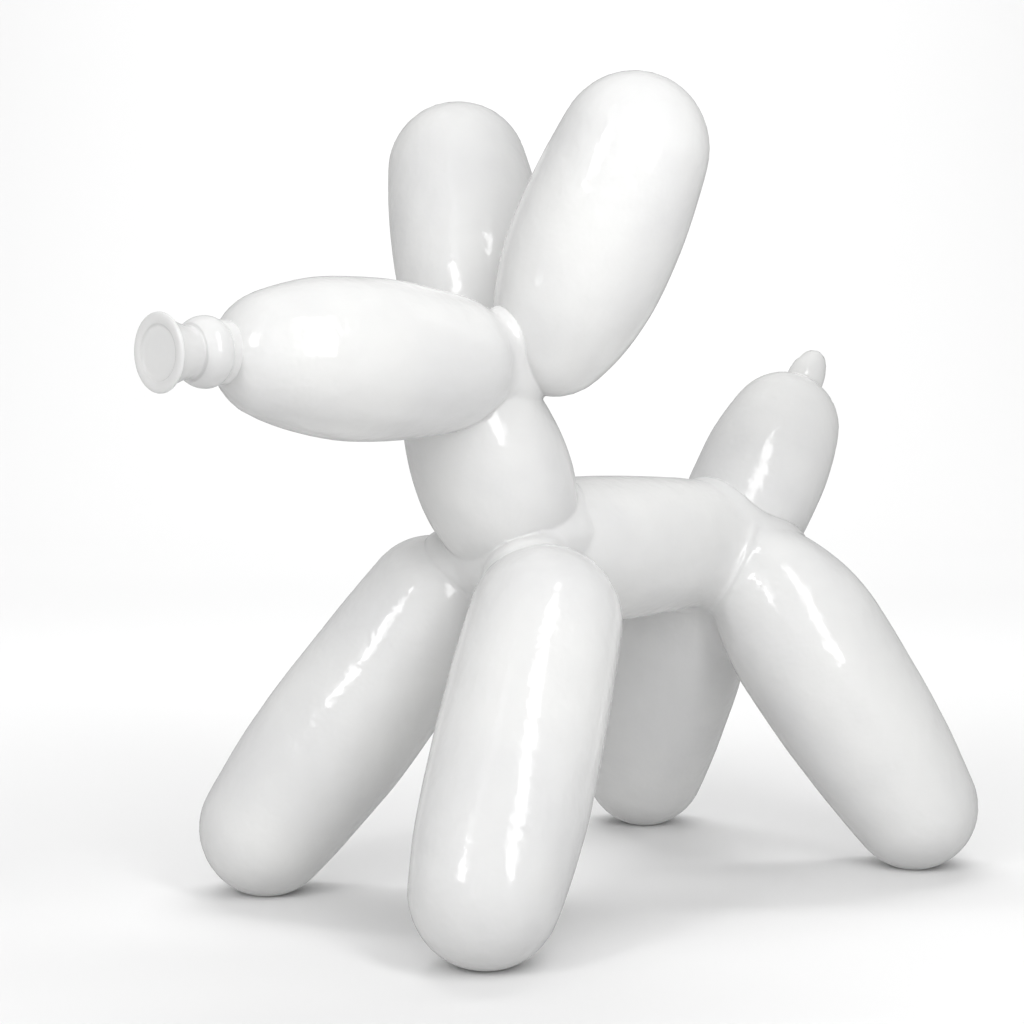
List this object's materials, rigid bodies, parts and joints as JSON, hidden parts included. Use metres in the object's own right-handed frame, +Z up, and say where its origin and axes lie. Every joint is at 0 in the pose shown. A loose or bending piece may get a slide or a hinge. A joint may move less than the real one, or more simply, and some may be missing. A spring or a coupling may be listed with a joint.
{
  "type": "balloon dog sculpture",
  "caption": "Standing dog twisted from one long balloon, cast in white glazed ceramic as a shelf ornament.",
  "frame": {"origin": "middle of the bounding box's bottom, on the ground the feet stand on", "axes": "the dog faces -Y, its left side is +X and +Z is up"},
  "size_m": [0.1342, 0.2478, 0.2215],
  "materials": {
    "white_gloss_glaze": "smooth white high-gloss glaze, faintly wavy"
  },
  "bodies": {
    "root": {"balloon_dog": "white_gloss_glaze"}
  },
  "joints": []
}
